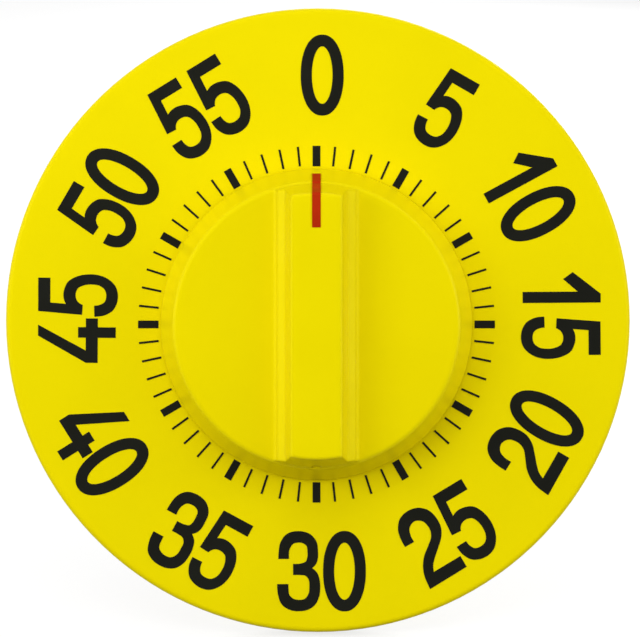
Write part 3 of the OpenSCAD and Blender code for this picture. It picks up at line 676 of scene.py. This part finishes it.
def wind_threads(name, node, core, pitch, start, length, look):
    """Winds a pointed ridge round the shank of each screw in a node, fading out at both ends."""
    core, pitch, start, length = (value * MM for value in (core, pitch, start, length))
    plan = bmesh.new()
    steps = round(length / pitch * look.thread_steps)
    for places in loose_parts(node):
        foot = middle_and_foot(places)
        sections = []
        for step in range(steps + 1):
            angle = 2 * math.pi * step / look.thread_steps
            outward = RIGHT * math.cos(angle) + UP * math.sin(angle)
            fade = min(1.0, 2 * step / look.thread_steps, 2 * (steps - step) / look.thread_steps)
            height = start + pitch * step / look.thread_steps
            profile = (
                (-THREAD_SINK, -THREAD_HALF), (look.thread_rise * fade, 0.0), (-THREAD_SINK, THREAD_HALF),
            )
            sections.append([
                plan.verts.new(foot + outward * (core + rise) + OUT * (height + shift * pitch))
                for rise, shift in profile
            ])
        for one, two in zip(sections, sections[1:]):
            for k in (0, 1, 2):
                plan.faces.new((one[k], one[(k + 1) % 3], two[(k + 1) % 3], two[k]))
        plan.faces.new(sections[0])
        plan.faces.new(sections[-1])
    bmesh.ops.recalc_face_normals(plan, faces=plan.faces[:])
    shape = bpy.data.meshes.new(name)
    plan.to_mesh(shape)
    plan.free()
    piece = bpy.data.objects.new(name, shape)
    bpy.context.scene.collection.objects.link(piece)
    shape.materials.append(frame["nodes"][node].material_slots[0].material)
    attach(piece, "root")
    return piece


# ---- Operators ----

class TIMER_OT_dress_dial(Operator):
    """Give the dial its yellow moulded finish"""

    bl_idname = "timer.dress_dial"
    bl_label = "Dial"

    def execute(self, context):
        look = settings(context, "mouldings")
        dress(yellow_moulding("Yellow dial moulding", look, 0.46, 0.05), "dial_plate")
        return {"FINISHED"}


class TIMER_OT_print_scale(Operator):
    """Ink the ring of minute marks"""

    bl_idname = "timer.print_scale"
    bl_label = "Minute marks"

    def execute(self, context):
        look = settings(context, "print")
        dress(printing_ink("Printed marks", look.ink, look, SHEEN_OF_INK), "minute_scale")
        return {"FINISHED"}


class TIMER_OT_print_numbers(Operator):
    """Print the numbers 0 to 55 round the dial"""

    bl_idname = "timer.print_numbers"
    bl_label = "Numbers"

    def execute(self, context):
        look = settings(context, "print")
        material = printing_ink("Printed numbers", look.ink, look, SHEEN_OF_INK)
        for text in NUMBERS:
            print_number(text, look, material)
        return {"FINISHED"}


class TIMER_OT_dress_knob(Operator):
    """Give the knob its yellow finish and the line its red one"""

    bl_idname = "timer.dress_knob"
    bl_label = "Knob"

    def execute(self, context):
        look = settings(context, "mouldings")
        dress(yellow_moulding("Yellow knob moulding", look, 0.42, 0.10), "knob")
        inks = settings(context, "print")
        dress(printing_ink("Red line", inks.red, inks, SHEEN_OF_RED), "pointer_line")
        return {"FINISHED"}


class TIMER_OT_dress_case(Operator):
    """Give the rear case, its screws and its magnets their finishes"""

    bl_idname = "timer.dress_case"
    bl_label = "Rear case"

    def execute(self, context):
        dress(black_moulding(settings(context, "mouldings")), "rear_case")
        look = settings(context, "metals")
        dress(ferrite(look), "magnet_1", "magnet_2", "magnet_3", "magnet_4")
        dress(metal("Housing screws", look.steel, 0.26, drawn, 0.35), "case_screws")
        return {"FINISHED"}


class TIMER_OT_dress_stand(Operator):
    """Give the wire stand its plated finish"""

    bl_idname = "timer.dress_stand"
    bl_label = "Wire stand"

    def execute(self, context):
        look = settings(context, "metals")
        dress(metal("Stand wire", look.wire, 0.18, drawn, 0.25, 0.3 * MM, 0.006 * MM), "wire_stand")
        return {"FINISHED"}


class TIMER_OT_dress_plates(Operator):
    """Give the movement's plates, pillars and fixings their finishes"""

    bl_idname = "timer.dress_plates"
    bl_label = "Plates and fixings"

    def execute(self, context):
        look = settings(context, "metals")
        dress(metal("Rolled brass plate", look.brass, 0.24, rolled, 0.45), "front_plate", "back_plate")
        dress(metal("Turned brass", look.brass, 0.20, turned, 0.3), "arbor_bush", "gong_post")
        dress(metal("Fixing steel", look.steel, 0.24, drawn, 0.3), "plate_pillars", "pillar_nuts",
              "movement_screws", "bush_nut")
        return {"FINISHED"}


class TIMER_OT_dress_train(Operator):
    """Give the wheels, arbors and escapement their finishes"""

    bl_idname = "timer.dress_train"
    bl_label = "Wheels and arbors"

    def execute(self, context):
        look = settings(context, "metals")
        dress(metal("Wheel brass", look.brass, 0.2, rolled, 0.35), "main_wheel", "second_wheel",
              "third_wheel", "escape_wheel", "pallet_lever", "balance_wheel", "hairspring_stud",
              "strike_cam")
        dress(metal("Polished arbor steel", look.steel, 0.14, drawn, 0.15), "main_arbor", "ratchet_wheel",
              "arbor_clip", "second_arbor", "third_arbor", "escape_arbor", "pallet_arbor",
              "pallet_pins", "balance_staff", "balance_roller", "click")
        return {"FINISHED"}


class TIMER_OT_wind_threads(Operator):
    """Wind the threads round the screws' shanks"""

    bl_idname = "timer.wind_threads"
    bl_label = "Screw threads"

    def execute(self, context):
        look = settings(context, "metals")
        for row in THREADS:
            wind_threads(*row, look)
        return {"FINISHED"}


class TIMER_OT_dress_springs(Operator):
    """Give the springs their blued finish"""

    bl_idname = "timer.dress_springs"
    bl_label = "Springs"

    def execute(self, context):
        look = settings(context, "metals")
        dress(metal("Blued spring steel", look.blued, 0.2, rolled, 0.5), "mainspring", "hairspring",
              "click_spring", "lever_spring")
        return {"FINISHED"}


class TIMER_OT_dress_strike(Operator):
    """Give the gong, hammer and strike levers their finishes"""

    bl_idname = "timer.dress_strike"
    bl_label = "Strike work"

    def execute(self, context):
        look = settings(context, "metals")
        dress(metal("Gong steel", look.gong, 0.22, turned, 0.3), "gong")
        dress(metal("Hammer brass", look.brass, 0.22, rolled, 0.3), "hammer_head")
        dress(metal("Stamped steel", look.steel, 0.28, rolled, 0.3), "hammer_star", "hammer_arbor",
              "hammer_tail", "hammer_arm", "strike_lever", "lever_stud", "gong_screw")
        return {"FINISHED"}


# How brightly the camera sees the floor on top of the lamps' light, which makes it white
FLOOR_GLOW = 0.77
FLOOR_HALF = 4.0


def studio_floor(look):
    """A pale floor that keeps shadows, and looks white where the camera or a gloss sees it."""
    finish = Finish("Studio floor", roughness=0.8)
    fine = finish.span(finish.noise(400.0, 3.0), 0.3, 0.7)
    floor_colour = finish.blend(fine, scaled(tuple(look.floor), 0.985), tuple(look.floor))
    finish.done(floor_colour)
    path = finish.node("ShaderNodeLightPath")
    seen = finish.sum("MAXIMUM", path.outputs["Is Camera Ray"], path.outputs["Is Glossy Ray"])
    seen = finish.sum("MAXIMUM", seen, path.outputs["Is Transmission Ray"])
    glow = finish.node("ShaderNodeEmission")
    finish.link(finish.sum("MULTIPLY", seen, FLOOR_GLOW), glow.inputs["Strength"])
    both = finish.node("ShaderNodeAddShader")
    output = next(node for node in finish.tree.nodes if node.type == "OUTPUT_MATERIAL")
    finish.link(finish.shader.outputs["BSDF"], both.inputs[0])
    finish.link(glow.outputs["Emission"], both.inputs[1])
    finish.link(both.outputs["Shader"], output.inputs["Surface"])
    return finish.material


def studio_air(strength):
    """Even light from all round, and plain white behind the object."""
    world = bpy.data.worlds.new("Studio air")
    world.use_nodes = True
    tree = world.node_tree
    tree.nodes.clear()
    path = tree.nodes.new("ShaderNodeLightPath")
    seen = tree.nodes.new("ShaderNodeMath")
    seen.operation = "MAXIMUM"
    tree.links.new(path.outputs["Is Camera Ray"], seen.inputs[0])
    tree.links.new(path.outputs["Is Glossy Ray"], seen.inputs[1])
    clear = tree.nodes.new("ShaderNodeMath")
    clear.operation = "MAXIMUM"
    tree.links.new(seen.outputs["Value"], clear.inputs[0])
    tree.links.new(path.outputs["Is Transmission Ray"], clear.inputs[1])
    level = tree.nodes.new("ShaderNodeMapRange")
    level.inputs["To Min"].default_value = strength
    level.inputs["To Max"].default_value = 1.0
    tree.links.new(clear.outputs["Value"], level.inputs["Value"])
    background = tree.nodes.new("ShaderNodeBackground")
    background.inputs["Color"].default_value = (1.0, 1.0, 1.0, 1.0)
    tree.links.new(level.outputs["Result"], background.inputs["Strength"])
    output = tree.nodes.new("ShaderNodeOutputWorld")
    tree.links.new(background.outputs["Background"], output.inputs["Surface"])
    return world


def aim(thing, target):
    """Turns a lamp or a camera to look at a point, upright."""
    back = (thing.location - target).normalized()
    side = SKYWARD.cross(back).normalized()
    thing.rotation_euler = Matrix((side, back.cross(side), back)).transposed().to_euler()


def soft_lamp(name, place, target, size, power):
    """A square soft light."""
    lamp = bpy.data.lights.new(name, "AREA")
    lamp.shape = "SQUARE"
    lamp.size = size
    lamp.energy = power
    stand = bpy.data.objects.new(name, lamp)
    bpy.context.scene.collection.objects.link(stand)
    stand.location = place
    aim(stand, target)
    return stand


# Each soft lamp: metres to the right of, above and in front of the dial; its size; share of the power
LAMPS = (
    ("left_key_lamp", (-0.65, 0.12, 0.65), 0.4, 0.229),
    ("right_key_lamp", (0.65, 0.12, 0.65), 0.4, 0.10),
    ("front_lamp", (-0.1, 0.32, 0.5), 0.4, 0.114),
    ("top_lamp", (0.0, 0.7, 0.33), 0.4, 0.038),
    ("left_lamp", (-0.66, 0.1, 0.2), 0.36, 0.08),
    ("right_lamp", (0.66, 0.1, 0.2), 0.36, 0.134),
    ("back_lamp", (0.25, 0.5, -0.7), 0.6, 0.55),
)


# How far from the dial's middle the camera looks
AIM_RIGHT = 0.6 * MM
AIM_UP = 0.68 * MM


class TIMER_OT_set_stage(Operator):
    """Lay the floor, hang the lights and place the camera"""

    bl_idname = "timer.set_stage"
    bl_label = "Studio"

    def execute(self, context):
        look = settings(context, "stage")
        scene = context.scene
        plan = bmesh.new()
        bmesh.ops.create_grid(plan, x_segments=8, y_segments=8, size=FLOOR_HALF)
        ground = bpy.data.meshes.new("studio_floor")
        plan.to_mesh(ground)
        plan.free()
        floor = bpy.data.objects.new("studio_floor", ground)
        scene.collection.objects.link(floor)
        ground.materials.append(studio_floor(look))
        scene.world = studio_air(look.fill_light)
        centre = DIAL.translation
        for name, (right, up, out), size, share in LAMPS:
            place = centre + RIGHT * right + UP * up + OUT * out
            soft_lamp(name, place, centre, size, share * look.lamp_power)
        camera = bpy.data.objects.new("camera", bpy.data.cameras.new("camera"))
        scene.collection.objects.link(camera)
        camera.data.sensor_fit = "HORIZONTAL"
        camera.data.lens = look.camera_lens
        sight = OUT * math.cos(look.camera_raise) + UP * math.sin(look.camera_raise)
        middle = centre + RIGHT * AIM_RIGHT + UP * AIM_UP
        camera.location = middle + sight * look.camera_distance
        aim(camera, middle)
        scene.camera = camera
        scene.view_settings.view_transform = "Standard"
        return {"FINISHED"}


STEPS = (
    TIMER_OT_dress_dial,
    TIMER_OT_print_scale,
    TIMER_OT_print_numbers,
    TIMER_OT_dress_knob,
    TIMER_OT_dress_case,
    TIMER_OT_dress_stand,
    TIMER_OT_dress_plates,
    TIMER_OT_dress_train,
    TIMER_OT_dress_springs,
    TIMER_OT_dress_strike,
    TIMER_OT_wind_threads,
    TIMER_OT_set_stage,
)


class TIMER_PT_looks(Panel):
    """Steps that dress the timer, with their settings"""

    bl_idname = "TIMER_PT_looks"
    bl_label = "Countdown timer"
    bl_space_type = "VIEW_3D"
    bl_region_type = "UI"
    bl_category = "Timer"

    def draw(self, context):
        for step in STEPS:
            self.layout.operator(step.bl_idname)
        for name, group in GROUPS.items():
            box = self.layout.box()
            box.label(text=name.capitalize())
            for key in group.__annotations__:
                box.prop(settings(context, name), key)


GROUPS = {
    "mouldings": TIMER_PG_mouldings,
    "print": TIMER_PG_print,
    "metals": TIMER_PG_metals,
    "stage": TIMER_PG_stage,
}


def register():
    for kind in (*GROUPS.values(), *STEPS, TIMER_PT_looks):
        bpy.utils.register_class(kind)
    for name, group in GROUPS.items():
        setattr(bpy.types.Scene, "timer_" + name, PointerProperty(type=group))


def unregister():
    for name in GROUPS:
        delattr(bpy.types.Scene, "timer_" + name)
    for kind in reversed((*GROUPS.values(), *STEPS, TIMER_PT_looks)):
        bpy.utils.unregister_class(kind)


def main():
    """Dresses the timer step by step."""
    register()
    for step in STEPS:
        area, name = step.bl_idname.split(".")
        getattr(getattr(bpy.ops, area), name)()


if __name__ == "__main__":
    main()
